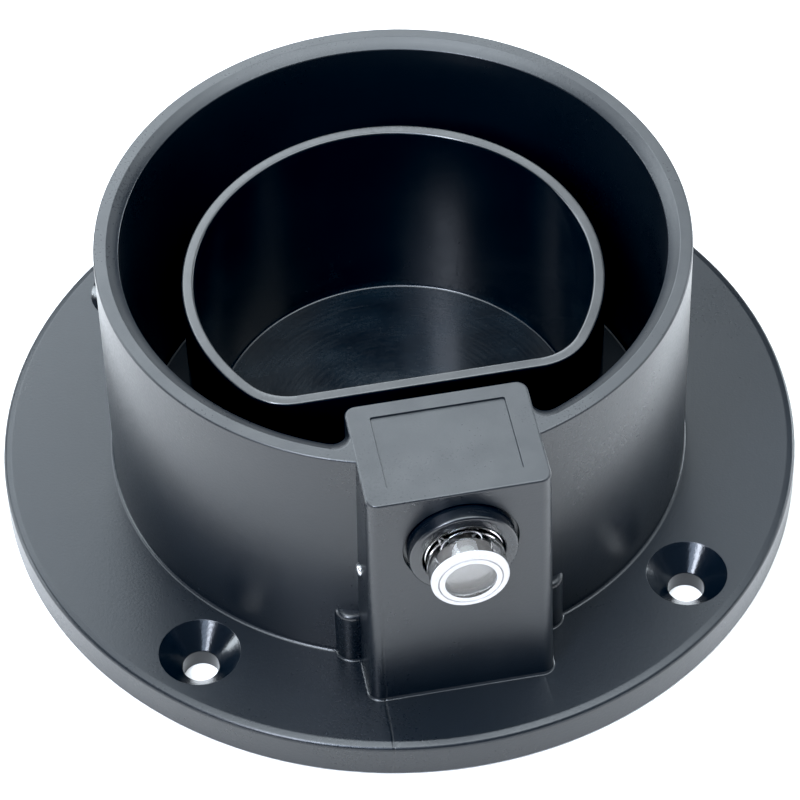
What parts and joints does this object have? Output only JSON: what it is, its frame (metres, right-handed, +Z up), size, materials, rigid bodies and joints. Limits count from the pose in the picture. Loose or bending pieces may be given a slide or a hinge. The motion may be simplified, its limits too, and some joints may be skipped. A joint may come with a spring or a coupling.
{
  "type": "charging connector holster",
  "caption": "Round wall-mounted holster for an EV charging connector, with a D-shaped collar in a deep sleeve and a spring latch freed by a clear push button.",
  "frame": {"origin": "centre of the flange's wall face", "axes": "+Z out of the wall and out of the sleeve's mouth, -Y towards the latch tower and its button, +X to the right of somebody who faces the button with +Z up"},
  "size_m": [0.116, 0.116, 0.0472],
  "materials": {
    "charcoal_plastic": "satin moulded, fine texture",
    "black_plastic": "satin moulded",
    "clear_plastic": "clear, polished",
    "pale_plastic": "moulded, pale grey",
    "lever_plastic": "glass-filled moulded",
    "zinc_steel": "zinc plated",
    "spring_steel": "bright wire",
    "black_rubber": "matte"
  },
  "bodies": {
    "housing": {"housing": "charcoal_plastic", "socket_collar": "black_plastic", "collar_screw_1": "zinc_steel", "collar_screw_2": "zinc_steel", "collar_screw_3": "zinc_steel", "collar_screw_4": "zinc_steel", "button_guide": "black_plastic", "guide_nut": "zinc_steel", "pivot_pin": "zinc_steel", "latch_cover": "black_plastic", "cover_gasket": "black_rubber", "cover_screw_1": "zinc_steel", "cover_screw_2": "zinc_steel", "button_spring": "spring_steel", "latch_spring": "spring_steel"},
    "button": {"push_button": "clear_plastic", "button_plunger": "pale_plastic", "button_seal": "black_rubber", "plunger_clip": "spring_steel"},
    "latch": {"latch_lever": "lever_plastic"}
  },
  "joints": [
    {"name": "button_press", "type": "slide", "parent": "housing", "child": "button", "axis": [0, 1, 0], "range_m": [0, 0.003], "stiffness_N_per_m": 500, "springref_m": -0.002, "deforming": ["button_spring"]},
    {"name": "latch_swing", "type": "hinge", "parent": "housing", "child": "latch", "pos_m": [0, -0.0411, 0.0263], "axis": [-1, 0, 0], "range_deg": [0, 15.8], "deforming": ["latch_spring"]}
  ],
  "couplings": [
    {"joint": "latch_swing", "follows": "button_press", "rad_per_m": 91.743}
  ]
}
